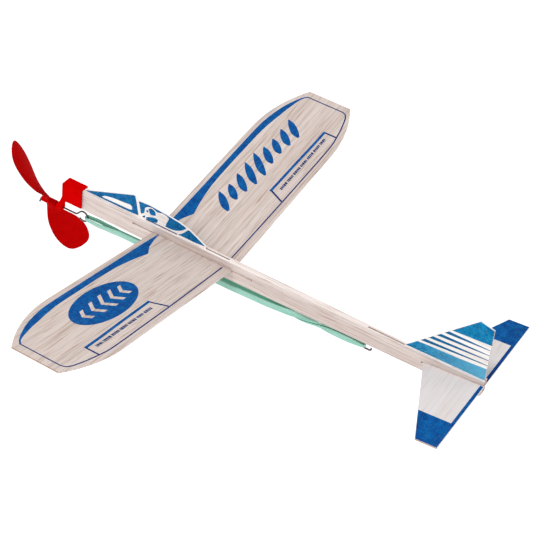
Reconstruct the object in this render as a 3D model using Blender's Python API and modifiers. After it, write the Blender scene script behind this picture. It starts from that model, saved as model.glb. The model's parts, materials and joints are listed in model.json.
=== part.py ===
"""Rubber band plane: a balsa stick model with a slotted wing and a plastic propeller.

Metres, +X towards the nose, +Y to the left wing tip, +Z up. The origin is on
the motor stick's flat top face, on the centre line, just behind the wing.
"""
import math

import bmesh
import bpy
from mathutils import Matrix, Vector

GAP = 0.00015                 # clearance between pieces that touch
SHEET = 0.0008                # wing, fin, stabilizer and canopy sheet
OVERCUT = 0.002               # how far a cutter runs past a face

# motor stick, as a side profile
STICK_WIDTH = 0.0034
STICK_FRONT = 0.1101
STICK_REAR = -0.1369
STICK_DEPTH = 0.0122
TAPER_START = 0.0560          # the underside rises from here to the tail
TAIL_DEPTH = 0.0085
TAIL_RISE = 0.0019            # the top rises this much from the fin to the tail
TAIL_RISE_START = -0.0932
TAIL_CORNER = 0.0030

# wing: one sheet with a crease in the middle
WING_FRONT = 0.0540
WING_CHORD = 0.0485
HALF_SPAN = 0.13335
DIHEDRAL = math.radians(10.0)
WING_TOP = -0.0049            # top surface at the crease
FRONT_CURVE_START = 0.093
FRONT_CURVE_DEPTH = 0.0123
REAR_CURVE_START = 0.098
REAR_CURVE_DEPTH = 0.0098
WING_SLOT = (-0.0069, 0.0668)
WING_SLOT_Z = (-0.00595, -0.00435)

# stabilizer
STAB_REAR = -0.1372
STAB_ROOT_CHORD = 0.0324
STAB_TIP_CHORD = 0.0113
STAB_HALF_SPAN = 0.0517
STAB_TOP = -0.0008            # top surface at the trailing edge
STAB_TILT = math.radians(5.2)
STAB_SLOT_FRONT = -0.1037

# fin
FIN_FRONT = -0.0932
FIN_PEAK = (-0.1274, 0.0346)
FIN_TOP_REAR = (-0.1350, 0.0328)
FIN_REAR = -0.1364
FIN_TENON = 0.0013
FIN_GROOVE = 0.0015
FIN_GROOVE_FRONT = -0.0728
FIN_GROOVE_REAR = -0.0973     # where the groove of the rising tail has taken over
TAIL_GROOVE_LENGTH = 0.050

# canopy panel
CANOPY_FRONT = 0.0989
CANOPY_REAR = 0.0224
CANOPY_TENON = 0.0023
CANOPY_GROOVE = 0.0025
CANOPY_GROOVE_REAR = 0.0080
COWL_PEAK = (0.0677, 0.0121)
CANOPY_ROOF = (
    (0.0652, 0.0098), (0.0581, 0.0103), (0.0518, 0.0098), (0.0455, 0.0091),
    (0.0393, 0.0083), (0.0330, 0.0066), (0.0266, 0.0034),
)

# nose bearing
CAP_REAR = 0.0992
CAP_FRONT = 0.1116
CAP_WIDTH = 0.0058
CAP_TOP = 0.0005
CAP_BOTTOM = -0.0113
CAP_CORNER = 0.0011           # round on the front top edge
NOSE_NOTCH = -0.0004          # the stick's top inside the cap
CAP_FACE_LOW = -0.0090        # the cap's front face ends here and the arm sweeps forward
SOCKET_DROP = 0.0030          # the socket is open this far below the cap
ARM_REAR = 0.1126
ARM_SWEEP = 0.0048            # radius of the arm's hollow rear side
ARM_KNEE = (0.1134, -0.0138)
ARM_HALF_WIDTH = 0.0019
ARM_WAIST = 0.0015            # the arm narrows this far below the cap
ARM_BOTTOM = -0.0300          # where its side cuts end, clear of the barrel
BEARING_REAR = 0.1128
BEARING_FRONT = 0.1160
BEARING_RADIUS = 0.0022

# propeller, shaft and hooks
AXIS_Z = -0.0186
WIRE_RADIUS = 0.00048
BORE_RADIUS = WIRE_RADIUS + 0.00009   # running clearance
HUB_REAR = 0.1171
HUB_FRONT = 0.1263
HUB_RADIUS = 0.0019
DISC_X = 0.1222
BLADE_TURN = math.radians(31.4)
BLADE_PITCH = 0.160           # advance in one turn, at the root
PITCH_GROWTH = 2.1            # metres more for each metre of radius beyond PITCH_START
PITCH_START = 0.026
TWIST_LIMIT = 0.006           # inside this radius the blade twists no further
BLADE_THICKNESS = 0.0012
BLADE_SHIFT = -0.0002         # of the blade's centre line along its chord
BLADE_SHAPE = (               # radius, half chord
    (0.0010, 0.0015), (0.0060, 0.0030), (0.0130, 0.0050), (0.0220, 0.0073),
    (0.0310, 0.0086), (0.0400, 0.0091), (0.0480, 0.0085), (0.0540, 0.0073),
    (0.0580, 0.0056), (0.0602, 0.0036), (0.0613, 0.0014),
)
SHAFT_FRONT = 0.1270
SHAFT_TIP = (0.1273, 0.0013, -0.0211)
SHAFT_KINK = 0.1037
RING_CENTRE = (0.0993, -0.0181)
RING_RADIUS = 0.0030
RING_SWEEP = (60, 320)        # degrees, from the top round the rear
HOOK_LEG_X = -0.0720
HOOK_LEG_TOP = -0.0070
HOOK_HOLE_DEPTH = 0.0060
HOOK_LOW = -0.0152
HOOK_TAIL_X = -0.0766
HOOK_TIP = -0.0136
HOOK_BEND = 0.0010

# rubber band: one flat loop, both runs on edge
BAND_WIDTH = 0.0027
BAND_THICKNESS = 0.0009
BAND_INNER_HALF = 0.00065
BAND_FRONT = (0.0976, -0.0178)
BAND_REAR = (-0.0736, -0.0132)
END_STEPS = 6


def clear_scene():
    for item in list(bpy.data.objects):
        bpy.data.objects.remove(item, do_unlink=True)


def make_collection(name):
    collection = bpy.data.collections.new(name)
    bpy.context.scene.collection.children.link(collection)
    return collection


def material(name, colour, roughness, metallic=0.0):
    finish = bpy.data.materials.new(name)
    finish.use_nodes = True
    shader = finish.node_tree.nodes["Principled BSDF"]
    shader.inputs["Base Color"].default_value = (*colour, 1.0)
    shader.inputs["Roughness"].default_value = roughness
    shader.inputs["Metallic"].default_value = metallic
    return finish


def add_object(name, data, collection, finish=None):
    item = bpy.data.objects.new(name, data)
    collection.objects.link(item)
    if finish:
        data.materials.append(finish)
    return item


def outline_curve(name, loops, thickness, collection, finish=None):
    """A flat solid from closed outlines in the local XY plane."""
    curve = bpy.data.curves.new(name, "CURVE")
    curve.dimensions = "2D"
    curve.fill_mode = "BOTH"
    curve.extrude = thickness / 2
    for points in loops:
        spline = curve.splines.new("POLY")
        spline.points.add(len(points) - 1)
        for place, (x, y) in zip(spline.points, points):
            place.co = (x, y, 0, 1)
        spline.use_cyclic_u = True
    return add_object(name, curve, collection, finish)


def wire_curve(name, points, collection, finish):
    """A round wire through the points, with closed ends."""
    curve = bpy.data.curves.new(name, "CURVE")
    curve.dimensions = "3D"
    curve.bevel_depth = WIRE_RADIUS
    curve.bevel_resolution = 2
    curve.use_fill_caps = True
    spline = curve.splines.new("POLY")
    spline.points.add(len(points) - 1)
    for place, point in zip(spline.points, points):
        place.co = (*point, 1)
    return add_object(name, curve, collection, finish)


def stand_up(item):
    """Turn a flat outline so that its Y becomes world Z."""
    item.rotation_euler = (math.pi / 2, 0, 0)


def as_mesh(item, collection):
    """Replace a curve by its welded mesh, in place."""
    bpy.context.view_layer.update()
    graph = bpy.context.evaluated_depsgraph_get()
    mesh = bpy.data.meshes.new_from_object(item.evaluated_get(graph))
    shape = bmesh.new()
    shape.from_mesh(mesh)
    bmesh.ops.remove_doubles(shape, verts=shape.verts, dist=1e-6)
    bmesh.ops.recalc_face_normals(shape, faces=shape.faces)
    shape.to_mesh(mesh)
    shape.free()
    name = item.name
    place = item.matrix_world.copy()
    bpy.data.objects.remove(item, do_unlink=True)
    solid = bpy.data.objects.new(name, mesh)
    solid.matrix_world = place
    collection.objects.link(solid)
    return solid


def box(name, low, high, collection):
    mesh = bpy.data.meshes.new(name)
    shape = bmesh.new()
    bmesh.ops.create_cube(shape, size=1.0)
    centre = [(a + b) / 2 for a, b in zip(low, high)]
    size = [b - a for a, b in zip(low, high)]
    for vert in shape.verts:
        vert.co = [c + v * s for c, v, s in zip(centre, vert.co, size)]
    shape.to_mesh(mesh)
    shape.free()
    return add_object(name, mesh, collection)


def rod(name, start_x, end_x, radius, collection, sides=24, finish=None):
    """A cylinder along X on the propeller axis."""
    mesh = bpy.data.meshes.new(name)
    shape = bmesh.new()
    bmesh.ops.create_cone(
        shape, cap_ends=True, segments=sides, radius1=radius, radius2=radius,
        depth=end_x - start_x,
        matrix=Matrix.Translation(((start_x + end_x) / 2, 0, AXIS_Z))
        @ Matrix.Rotation(math.pi / 2, 4, "Y"),
    )
    shape.to_mesh(mesh)
    shape.free()
    return add_object(name, mesh, collection, finish)


def boolean(item, tool, operation):
    """Cut or join with another object, which stays as a guide."""
    step = item.modifiers.new(f"{operation.lower()} {tool.name}", "BOOLEAN")
    step.operation = operation
    step.solver = "EXACT"
    step.object = tool
    tool.hide_render = True
    tool.display_type = "WIRE"


def arc(centre, radius, start, end, steps):
    """Points of an arc, angles in degrees."""
    points = []
    for step in range(steps + 1):
        angle = math.radians(start + (end - start) * step / steps)
        points.append((centre[0] + radius * math.cos(angle), centre[1] + radius * math.sin(angle)))
    return points


def edge_sweep(start, end, depth, steps=10):
    """Distances along a span and the set-back of a circular arc there."""
    reach = end - start
    radius = reach * reach / (2 * depth) + depth / 2
    rows = []
    for step in range(steps + 1):
        along = reach * step / steps
        rows.append((start + along, radius - math.sqrt(radius * radius - along * along)))
    return rows


def underside(x):
    """Height of the stick's underside at a place along it."""
    if x >= TAPER_START:
        return -STICK_DEPTH
    share = (TAPER_START - x) / (TAPER_START - STICK_REAR)
    return -STICK_DEPTH + share * (STICK_DEPTH - TAIL_DEPTH)


def make_motor_stick(parts, cutters, finish):
    corner = arc((STICK_REAR + TAIL_CORNER, -TAIL_DEPTH + TAIL_CORNER), TAIL_CORNER, 180, 270, 6)
    profile = [
        (STICK_FRONT, NOSE_NOTCH),
        (CAP_REAR - GAP, NOSE_NOTCH),
        (CAP_REAR - GAP, 0.0),
        (TAIL_RISE_START, 0.0),
        (STICK_REAR, TAIL_RISE),
        *corner,
        (TAPER_START, -STICK_DEPTH),
        (STICK_FRONT, -STICK_DEPTH),
    ]
    stick = outline_curve("motor_stick", [profile], STICK_WIDTH, parts)
    stand_up(stick)
    stick = as_mesh(stick, parts)
    stick.data.materials.append(finish)
    side = STICK_WIDTH / 2 + OVERCUT
    groove = SHEET / 2 + GAP / 2
    wing_slot = box(
        "wing_slot", (WING_SLOT[0], -side, WING_SLOT_Z[0]), (WING_SLOT[1], side, WING_SLOT_Z[1]), cutters)
    canopy_groove = box(
        "canopy_groove", (CANOPY_GROOVE_REAR, -groove, -CANOPY_GROOVE),
        (CAP_REAR - 0.0001, groove, OVERCUT), cutters)
    fin_groove = box(
        "fin_groove", (FIN_GROOVE_REAR, -groove, -FIN_GROOVE), (FIN_GROOVE_FRONT, groove, OVERCUT), cutters)
    tail_groove = box(
        "tail_groove", (-TAIL_GROOVE_LENGTH, -groove, -FIN_GROOVE), (0, groove, 2 * OVERCUT), cutters)
    tail_groove.location = (TAIL_RISE_START, 0, 0)
    tail_groove.rotation_euler = (0, tail_slope(), 0)
    stab_slot = box(
        "stab_slot", (STAB_REAR - 2 * OVERCUT, -side, -SHEET - GAP), (STAB_SLOT_FRONT, side, GAP), cutters)
    tilt_about_trailing_edge(stab_slot)
    hook_hole = rod("hook_hole", 0, HOOK_HOLE_DEPTH, WIRE_RADIUS + GAP, cutters, sides=16)
    hook_hole.matrix_world = (
        Matrix.Translation((HOOK_LEG_X, 0, HOOK_LEG_TOP + GAP))
        @ Matrix.Rotation(math.pi / 2, 4, "Y") @ Matrix.Translation((0, 0, -AXIS_Z)))
    for tool in (wing_slot, canopy_groove, fin_groove, tail_groove, stab_slot, hook_hole):
        boolean(stick, tool, "DIFFERENCE")


def tail_slope():
    """Angle about Y that lays a level piece on the rising tail."""
    return math.atan2(TAIL_RISE, TAIL_RISE_START - STICK_REAR)


def tilt_about_trailing_edge(item):
    """Tilt a piece about the stabilizer's trailing edge."""
    item.matrix_world = (
        Matrix.Translation((STAB_REAR, 0, STAB_TOP))
        @ Matrix.Rotation(STAB_TILT, 4, "Y")
        @ Matrix.Translation((-STAB_REAR, 0, 0)))


def make_wing(parts, finish):
    """Half the wing as a sheet, tilted to the dihedral and mirrored at the crease."""
    panel_span = HALF_SPAN / math.cos(DIHEDRAL)
    root = -OVERCUT
    front = [(WING_FRONT - set_back, along)
             for along, set_back in edge_sweep(FRONT_CURVE_START, panel_span, FRONT_CURVE_DEPTH)]
    rear_line = WING_FRONT - WING_CHORD
    rear = [(rear_line + set_back, along)
            for along, set_back in edge_sweep(REAR_CURVE_START, panel_span, REAR_CURVE_DEPTH)]
    points = [(WING_FRONT, root), *front, *reversed(rear), (rear_line, root)]
    wing = as_mesh(outline_curve("wing", [points], SHEET, parts), parts)
    wing.data.materials.append(finish)
    wing.data.transform(Matrix.Rotation(DIHEDRAL, 4, "X") @ Matrix.Translation((0, 0, -SHEET / 2)))
    wing.location = (0, 0, WING_TOP)
    mirror = wing.modifiers.new("other half", "MIRROR")
    mirror.use_axis = (False, True, False)
    mirror.use_bisect_axis = (False, True, False)
    mirror.use_mirror_merge = True
    mirror.merge_threshold = 0.00001


def make_stabilizer(parts, finish):
    flat = STICK_WIDTH / 2
    root = STAB_REAR + STAB_ROOT_CHORD
    points = [
        (root, -flat), (root, flat),
        (STAB_REAR + STAB_TIP_CHORD, STAB_HALF_SPAN), (STAB_REAR, STAB_HALF_SPAN),
        (STAB_REAR, -STAB_HALF_SPAN), (STAB_REAR + STAB_TIP_CHORD, -STAB_HALF_SPAN),
    ]
    stab = as_mesh(outline_curve("stabilizer", [points], SHEET, parts), parts)
    stab.data.materials.append(finish)
    stab.data.transform(Matrix.Translation((0, 0, -SHEET / 2)))
    tilt_about_trailing_edge(stab)


def make_fin(parts, finish):
    rear_base = TAIL_RISE * (TAIL_RISE_START - FIN_REAR) / (TAIL_RISE_START - STICK_REAR)
    points = [
        (FIN_FRONT, -FIN_TENON), (FIN_FRONT, 0.0), FIN_PEAK, FIN_TOP_REAR,
        (FIN_REAR, rear_base - FIN_TENON),
    ]
    fin = outline_curve("fin", [points], SHEET, parts, finish)
    stand_up(fin)


def make_canopy(parts, finish):
    points = [
        (CANOPY_FRONT, -CANOPY_TENON), (CANOPY_FRONT, 0.0), COWL_PEAK, *CANOPY_ROOF,
        (CANOPY_REAR, 0.0010), (CANOPY_REAR, -CANOPY_TENON),
    ]
    canopy = outline_curve("canopy_panel", [points], SHEET, parts, finish)
    stand_up(canopy)


def make_nose_bearing(parts, cutters, finish):
    """A cap over the stick's end, with an arm down to the shaft's bearing."""
    sweep = arc((ARM_REAR - ARM_SWEEP, CAP_BOTTOM - ARM_SWEEP), ARM_SWEEP, 90, 0, 7)
    profile = [
        (CAP_REAR, CAP_TOP), (CAP_REAR, CAP_BOTTOM), *sweep,
        (BEARING_REAR, AXIS_Z), (BEARING_FRONT, AXIS_Z),
        (BEARING_FRONT - GAP, AXIS_Z + 0.9 * BEARING_RADIUS),
        ARM_KNEE, (CAP_FRONT, CAP_FACE_LOW),
        *arc((CAP_FRONT - CAP_CORNER, CAP_TOP - CAP_CORNER), CAP_CORNER, 0, 90, 5),
    ]
    nose = outline_curve("nose_bearing", [profile], CAP_WIDTH, parts)
    stand_up(nose)
    nose = as_mesh(nose, parts)
    nose.data.materials.append(finish)
    inner = STICK_WIDTH / 2 + GAP
    socket = box(
        "socket", (CAP_REAR - OVERCUT, -inner, CAP_BOTTOM - SOCKET_DROP),
        (STICK_FRONT + GAP, inner, NOSE_NOTCH + GAP), cutters)
    barrel = rod("bearing_barrel", BEARING_REAR, BEARING_FRONT, BEARING_RADIUS, cutters)
    bore = rod(
        "bearing_bore", BEARING_REAR - OVERCUT, BEARING_FRONT + OVERCUT, BORE_RADIUS, cutters, sides=16)
    for side, word in ((-1, "right"), (1, "left")):
        reach = sorted((side * ARM_HALF_WIDTH, side * CAP_WIDTH))
        waist = box(
            f"arm_side_{word}", (CAP_REAR - OVERCUT, reach[0], ARM_BOTTOM),
            (BEARING_FRONT + OVERCUT, reach[1], CAP_BOTTOM - ARM_WAIST), cutters)
        boolean(nose, waist, "DIFFERENCE")
    boolean(nose, socket, "DIFFERENCE")
    boolean(nose, barrel, "UNION")
    boolean(nose, bore, "DIFFERENCE")


def blade_section(radius, half_chord, side):
    """Eight corners round one section of a blade."""
    pitch = BLADE_PITCH + PITCH_GROWTH * max(radius - PITCH_START, 0)
    twist = math.atan2(pitch, 2 * math.pi * max(radius, TWIST_LIMIT))
    out = Vector((0, math.sin(BLADE_TURN), math.cos(BLADE_TURN))) * side
    turn = Vector((0, math.cos(BLADE_TURN), -math.sin(BLADE_TURN))) * side
    chord = turn * math.cos(twist) - Vector((math.sin(twist), 0, 0))
    face = out.cross(chord)
    centre = Vector((DISC_X, 0, AXIS_Z)) + out * radius + chord * BLADE_SHIFT
    corners = []
    for share, thick in ((-1, 0.25), (-0.5, 1), (0.5, 1), (1, 0.25)):
        corners.append(centre + chord * half_chord * share + face * BLADE_THICKNESS / 2 * thick)
    for share, thick in ((1, 0.25), (0.5, 1), (-0.5, 1), (-1, 0.25)):
        corners.append(centre + chord * half_chord * share - face * BLADE_THICKNESS / 2 * thick)
    return corners


def make_blade(side, cutters):
    mesh = bpy.data.meshes.new("blade")
    shape = bmesh.new()
    rings = []
    for radius, half_chord in BLADE_SHAPE:
        rings.append([shape.verts.new(corner) for corner in blade_section(radius, half_chord, side)])
    for lower, upper in zip(rings, rings[1:]):
        for index in range(len(lower)):
            after = (index + 1) % len(lower)
            shape.faces.new((lower[index], lower[after], upper[after], upper[index]))
    shape.faces.new(reversed(rings[0]))
    shape.faces.new(rings[-1])
    bmesh.ops.recalc_face_normals(shape, faces=shape.faces)
    shape.to_mesh(mesh)
    shape.free()
    return add_object(f"blade_{'upper' if side > 0 else 'lower'}", mesh, cutters)


def make_propeller(parts, cutters, finish):
    propeller = rod("propeller", HUB_REAR, HUB_FRONT, HUB_RADIUS, parts, finish=finish)
    for side in (1, -1):
        boolean(propeller, make_blade(side, cutters), "UNION")
    bore = rod("hub_bore", HUB_REAR - OVERCUT, HUB_FRONT + OVERCUT, BORE_RADIUS, cutters, sides=16)
    boolean(propeller, bore, "DIFFERENCE")


def make_propeller_shaft(parts, finish):
    """Straight through hub and bearing, bent over in front, a ring hook behind."""
    ring = arc(RING_CENTRE, RING_RADIUS, *RING_SWEEP, 22)
    points = [
        SHAFT_TIP, (SHAFT_FRONT, 0, AXIS_Z),
        (SHAFT_KINK, 0, AXIS_Z), *[(x, 0, z) for x, z in ring],
    ]
    wire_curve("propeller_shaft", points, parts, finish)


def make_rear_hook(parts, finish):
    bend = arc((HOOK_LEG_X - HOOK_BEND, HOOK_LOW + HOOK_BEND), HOOK_BEND, 0, -90, 5)
    tip = arc((HOOK_TAIL_X + HOOK_BEND, HOOK_LOW + HOOK_BEND), HOOK_BEND, -90, -180, 5)
    points = [
        (HOOK_LEG_X, 0, HOOK_LEG_TOP), *[(x, 0, z) for x, z in (*bend, *tip)],
        (HOOK_TAIL_X, 0, HOOK_TIP),
    ]
    wire_curve("rear_hook", points, parts, finish)


def make_rubber_band(parts, finish):
    """A flat loop on edge, between the two hooks."""
    front = Vector((BAND_FRONT[0], BAND_FRONT[1]))
    rear = Vector((BAND_REAR[0], BAND_REAR[1]))
    half = (front - rear).length / 2
    loops = []
    for radius in (BAND_INNER_HALF + BAND_THICKNESS, BAND_INNER_HALF):
        straight = half - BAND_INNER_HALF
        loops.append(
            arc((straight, 0), radius, -90, 90, END_STEPS) + arc((-straight, 0), radius, 90, 270, END_STEPS))
    band = outline_curve("rubber_band", loops, BAND_WIDTH, parts, finish)
    middle = (front + rear) / 2
    slope = math.atan2(front.y - rear.y, front.x - rear.x)
    band.location = (middle.x, 0, middle.y)
    band.rotation_euler = (0, -slope, 0)


def main():
    clear_scene()
    parts = make_collection("rubber_band_plane")
    cutters = make_collection("cutters")
    balsa = material("balsa", (0.78, 0.66, 0.55), 0.75)
    sheet = material("printed_balsa", (0.72, 0.62, 0.55), 0.75)
    red = material("red_plastic", (0.60, 0.005, 0.005), 0.35)
    steel = material("wire", (0.35, 0.35, 0.36), 0.3, 1.0)
    rubber = material("rubber", (0.20, 0.62, 0.45), 0.6)
    make_motor_stick(parts, cutters, balsa)
    make_wing(parts, sheet)
    make_stabilizer(parts, sheet)
    make_fin(parts, sheet)
    make_canopy(parts, sheet)
    make_nose_bearing(parts, cutters, red)
    make_propeller(parts, cutters, red)
    make_propeller_shaft(parts, steel)
    make_rear_hook(parts, steel)
    make_rubber_band(parts, rubber)


main()
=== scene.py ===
"""Looks of the rubber band plane: balsa, printed ink, red plastic, wire and strip rubber.

Metres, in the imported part's frame: +X to the nose, +Y to the left wing tip, +Z up.
"""
import json
import math

import bmesh
import bpy
from mathutils import Matrix, Vector


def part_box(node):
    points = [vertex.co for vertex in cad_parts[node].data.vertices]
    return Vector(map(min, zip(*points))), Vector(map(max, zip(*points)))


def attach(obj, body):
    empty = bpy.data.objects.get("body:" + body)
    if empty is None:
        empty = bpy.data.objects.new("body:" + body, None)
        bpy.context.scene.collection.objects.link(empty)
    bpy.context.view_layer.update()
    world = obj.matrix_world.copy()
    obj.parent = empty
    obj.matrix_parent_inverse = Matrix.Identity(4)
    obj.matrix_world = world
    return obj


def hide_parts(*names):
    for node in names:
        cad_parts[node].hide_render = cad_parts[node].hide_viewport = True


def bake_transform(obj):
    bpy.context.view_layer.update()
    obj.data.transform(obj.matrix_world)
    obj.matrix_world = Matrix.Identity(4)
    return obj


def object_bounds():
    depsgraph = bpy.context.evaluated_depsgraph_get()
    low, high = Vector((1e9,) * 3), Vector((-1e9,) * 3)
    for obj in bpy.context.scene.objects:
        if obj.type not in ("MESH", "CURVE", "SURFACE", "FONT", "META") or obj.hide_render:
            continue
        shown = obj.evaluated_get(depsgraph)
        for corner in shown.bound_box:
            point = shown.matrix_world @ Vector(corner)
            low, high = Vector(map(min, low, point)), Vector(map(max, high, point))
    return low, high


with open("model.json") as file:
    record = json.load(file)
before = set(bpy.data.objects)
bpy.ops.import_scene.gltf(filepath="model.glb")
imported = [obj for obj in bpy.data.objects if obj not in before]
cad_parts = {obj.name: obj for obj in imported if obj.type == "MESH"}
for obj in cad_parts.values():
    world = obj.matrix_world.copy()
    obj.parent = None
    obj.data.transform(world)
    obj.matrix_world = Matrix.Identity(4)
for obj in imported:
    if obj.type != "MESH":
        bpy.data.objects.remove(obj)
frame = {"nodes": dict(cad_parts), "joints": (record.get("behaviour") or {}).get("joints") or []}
CAD_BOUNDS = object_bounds()

# the sheets, as the CAD model has them
WING_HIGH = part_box("wing")[1]
FIN_LOW, FIN_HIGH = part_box("fin")
STAB_LOW, STAB_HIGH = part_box("stabilizer")
SHEET = FIN_HIGH[1] - FIN_LOW[1]
FADE_START = FIN_HIGH[0] - 0.006      # where the fin's low band begins to turn paler
FADE_END = FIN_LOW[0] + 0.002
DIHEDRAL = math.radians(10.0)
STAB_TILT = math.radians(5.2)
WING_CREASE = WING_HIGH[2] - WING_HIGH[1] * math.tan(DIHEDRAL)
WING_LEAD = WING_HIGH[0]
SPIN_JOINT = next(joint for joint in frame["joints"] if joint["type"] == "hinge")
AXIS_Z = SPIN_JOINT["pos_m"][2]

INK_DEPTH = 0.00006           # an ink film's body, half of it sunk into the wood
CURVE_STEPS = 10
WELD_DISTANCE = 1e-7
FLOOR_DROP = 0.0015           # how far the floor lies below the lower blade's tip
FLOOR_SIZE = 4.0
FLOOR_GREY = (0.25, 0.25, 0.25, 1.0)
FLOOR_GLOW = 0.95             # the floor's own light, which keeps it white and nearly free of shadows
WHITE = (1.0, 1.0, 1.0, 1.0)

# camera and lights; a light has a name, place, target, size and power
CAMERA_PLACE = (-0.2874, 0.5498, 0.5184)
CAMERA_FORWARD = (0.3404, -0.6877, -0.6413)
CAMERA_UP = (0.4079, -0.5065, 0.7596)
SENSOR_WIDTH = 36.0           # in millimetres, like the lens
LENS = 106.67
LIGHTS = (
    ("key", (0.7, 0.9, 1.9), (0, 0, 0), 0.7, 23),
    ("fill", (-0.3, 1.6, 0.8), (0, 0, 0), 1.2, 7.5),
    ("rear", (-1.5, -1.1, 0.35), (0.12, 0, 0), 0.8, 11),
)
WORLD_STRENGTH = 0.62

# how far the edges of the CAD pieces are softened
STICK_EDGE = 0.00012
SHEET_EDGE = 0.00010
PRINTED_EDGE = 0.00004        # less, because the print reaches these sheets' edges
CAP_EDGE = 0.00025
EDGE_ANGLE = 35

# propeller, as the CAD model has it
DISC_X = 0.1222
HUB_REAR = 0.1171
HUB_FRONT = 0.1263
HUB_RADIUS = 0.0019
BLADE_TURN = math.radians(31.4)
BLADE_PITCH = 0.160           # advance in one turn, at the root
PITCH_GROWTH = 2.1            # metres more for each metre of radius beyond PITCH_START
PITCH_START = 0.026
TWIST_LIMIT = 0.006           # inside this radius the blade twists no further
BLADE_SHIFT = -0.0002         # of the blade's middle along its chord
BLADE_CAMBER = 0.035          # of the half chord
BLADE_FULLNESS = 0.7          # below 1 the section is fuller than an oval
BORE_CLEARANCE = 0.00009      # between the wire and the hub, on the radius
HUB_EDGE = 0.0004
OVERCUT = 0.002               # how far the bore's cutter runs past the hub
BLADE_EDGE = (                # radius, half chord; the last point rounds the tip
    (0.0010, 0.0017), (0.0060, 0.0030), (0.0130, 0.0050), (0.0220, 0.0073), (0.0310, 0.0086),
    (0.0400, 0.0091), (0.0480, 0.0086), (0.0540, 0.0076), (0.0580, 0.0062), (0.0602, 0.0045),
    (0.0611, 0.0026), (0.0613, 0.0003),
)
BLADE_THICKNESS = (           # radius, thickness
    (0.0, 0.0030), (0.004, 0.0026), (0.010, 0.0017), (0.022, 0.0013), (0.045, 0.0010), (0.0613, 0.0006),
)

# wire, along the CAD wires; the rear hook hangs about 1.3 mm higher than the CAD one
WIRE_RADIUS = 0.00048
SHAFT_FRONT = 0.1270
SHAFT_TIP = (0.1273, 0.0013, -0.0211)
SHAFT_KINK = 0.1037
RING_CENTRE = (0.0993, -0.0181)
RING_RADIUS = 0.0030
RING_SWEEP = (60, 320)
SHAFT_BEND = 0.0009
HOOK_LEG_X = -0.0720
HOOK_LEG_TOP = -0.0070
HOOK_LOW = -0.0139
HOOK_TAIL_X = -0.0766
HOOK_TIP = -0.0124
HOOK_BEND = 0.0010

# rubber band: two runs of flat strip on edge, with half a turn behind the wing
STRIP_WIDTH = (               # place along X, width; narrower where it is pulled round the wire
    (-0.0735, 0.0015), (-0.0630, 0.0031), (0.0890, 0.0031), (0.0978, 0.0024),
)
STRIP_THICKNESS = 0.00095
STRIP_CHAMFER = 0.00012
BAND_FRONT = (0.0963, -0.0180)
BAND_REAR = (-0.0720, -0.0125)
BAND_SAG = 0.0007
BAND_SPACING = (              # place along X, distance between the runs' middles
    (-0.0720, 0.0021), (-0.0620, 0.0020), (-0.0540, 0.0013), (-0.0400, 0.0012), (-0.0280, 0.0022),
    (-0.0140, 0.0033), (0.0050, 0.0035), (0.0300, 0.0028), (0.0560, 0.0012), (0.0740, 0.0011),
    (0.0820, 0.0019), (0.0890, 0.0026), (0.0963, 0.0021),
)
BAND_ROLL = (                 # place along X, degrees that the pair of runs is rolled by
    (-0.0600, 180.0), (-0.0200, 0.0), (0.0740, 0.0), (0.0880, -21.0), (0.0963, -21.0),
)
# of the eight faces round the strip, those given the darker rubber with little talc, as painted shade in the
# gap between the runs and under the stick
INNER_FACES = (4, 5, 6)               # on the run that is the left one at the nose
INNER_AND_TOP_FACES = (4, 5, 6, 7)    # on the other run
RUN_STEPS = 96
TURN_STEPS = 10


# ---------------------------------------------------------------- helpers

def smooth_path(points, steps=CURVE_STEPS):
    """Points of a Catmull-Rom curve through given points, ends included."""
    places = [Vector(p) for p in points]
    places = [places[0] * 2 - places[1], *places, places[-1] * 2 - places[-2]]
    path = []
    for a, b, c, d in zip(places, places[1:], places[2:], places[3:]):
        for step in range(steps):
            t = step / steps
            path.append(0.5 * (2 * b + (c - a) * t + (2 * a - 5 * b + 4 * c - d) * t ** 2
                               + (3 * b - a - 3 * c + d) * t ** 3))
    path.append(places[-2])
    return [tuple(p) for p in path]


def eased(share):
    """0 to 1 with a soft start and end."""
    share = min(max(share, 0.0), 1.0)
    return share * share * (3 - 2 * share)


def level(place, table):
    """A value between given (place, value) pairs, easing from one to the next."""
    for (start, low), (end, high) in zip(table, table[1:]):
        if place <= end:
            return low + (high - low) * eased((place - start) / (end - start))
    return table[-1][1]


def arc(centre, radius, start, end, steps=12):
    """Points of an arc, angles in degrees."""
    angles = [math.radians(start + (end - start) * k / steps) for k in range(steps + 1)]
    return [(centre[0] + radius * math.cos(a), centre[1] + radius * math.sin(a)) for a in angles]


def rounded(points, radius, steps=6):
    """A path of straight lines with its corners rounded off."""
    places = [Vector(p) for p in points]
    path = [places[0]]
    for before, corner, after in zip(places, places[1:], places[2:]):
        reach = min(radius, (before - corner).length / 2, (after - corner).length / 2)
        start = corner + (before - corner).normalized() * reach
        end = corner + (after - corner).normalized() * reach
        for step in range(steps + 1):
            t = step / steps
            path.append(start * (1 - t) ** 2 + corner * 2 * t * (1 - t) + end * t ** 2)
    path.append(places[-1])
    return path


def stroke(points, widths):
    """Outline of a brush stroke along a smooth line, with a width at each given point."""
    path = smooth_path(points)
    spread = smooth_path([(w, 0) for w in widths])
    left, right = [], []
    for index, (x, y) in enumerate(path):
        before = Vector(path[max(index - 1, 0)])
        after = Vector(path[min(index + 1, len(path) - 1)])
        along = (after - before).normalized()
        across = Vector((-along.y, along.x)) * max(spread[index][0], 0.00002) / 2
        left.append((x + across.x, y + across.y))
        right.append((x - across.x, y - across.y))
    return left + right[::-1]


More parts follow.
